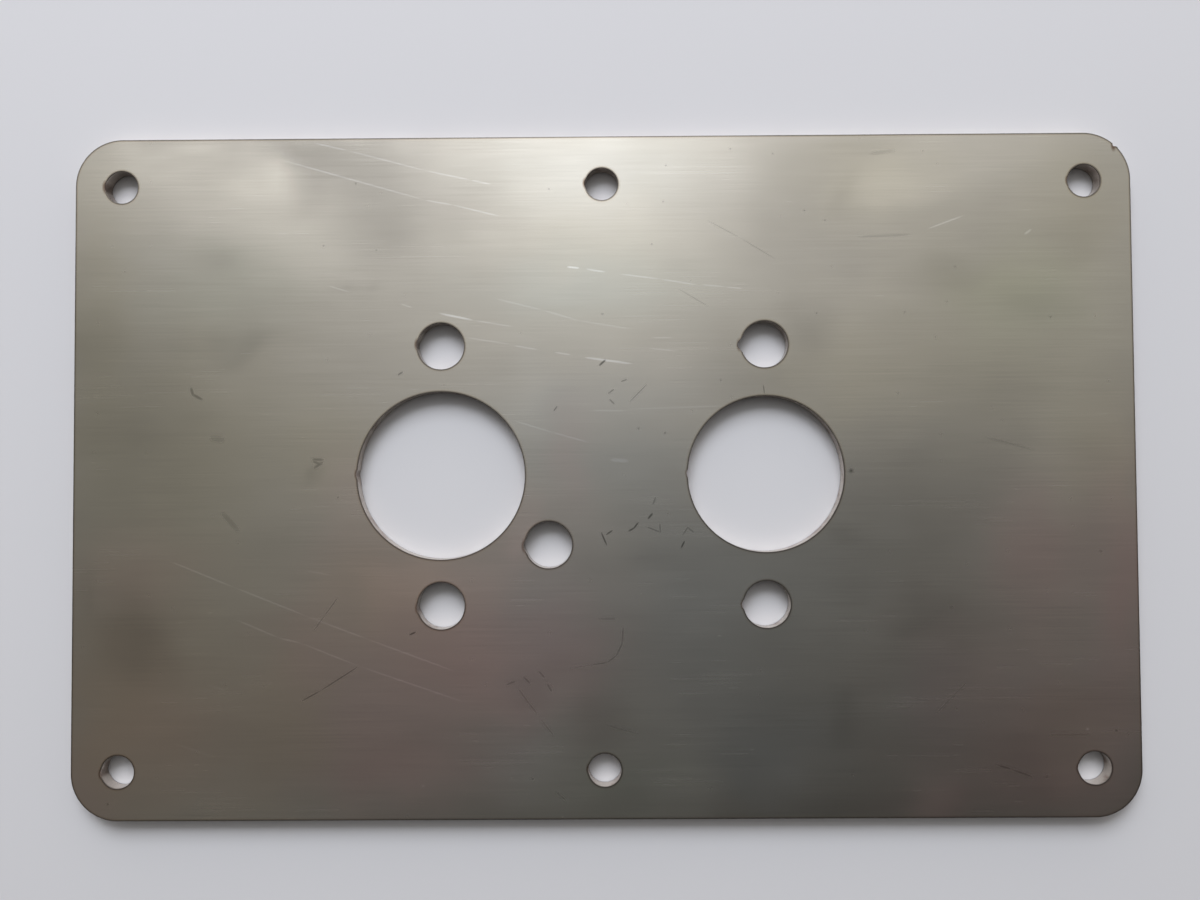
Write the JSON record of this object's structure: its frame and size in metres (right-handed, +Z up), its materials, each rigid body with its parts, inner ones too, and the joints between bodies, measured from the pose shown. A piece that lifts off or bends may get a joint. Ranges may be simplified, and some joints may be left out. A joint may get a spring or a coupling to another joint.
{
  "type": "heater mounting plate",
  "caption": "Flat rectangular steel plate with round corners that carries a small air heater, with ports, stud holes beside them, a fuel line hole and fixing holes round the rim.",
  "frame": {"origin": "middle of the underside of the plate", "axes": "+X along the length, towards the smaller port; +Y across the width, away from the fuel line hole; +Z up, out of the face that the picture shows"},
  "size_m": [0.18, 0.1156, 0.0025],
  "materials": {
    "stainless_sheet": "mill-finished stainless sheet with a fine straight grain, light scratches and brown heat tint at the cut edges"
  },
  "bodies": {
    "root": {"mounting_plate": "stainless_sheet"}
  },
  "joints": []
}
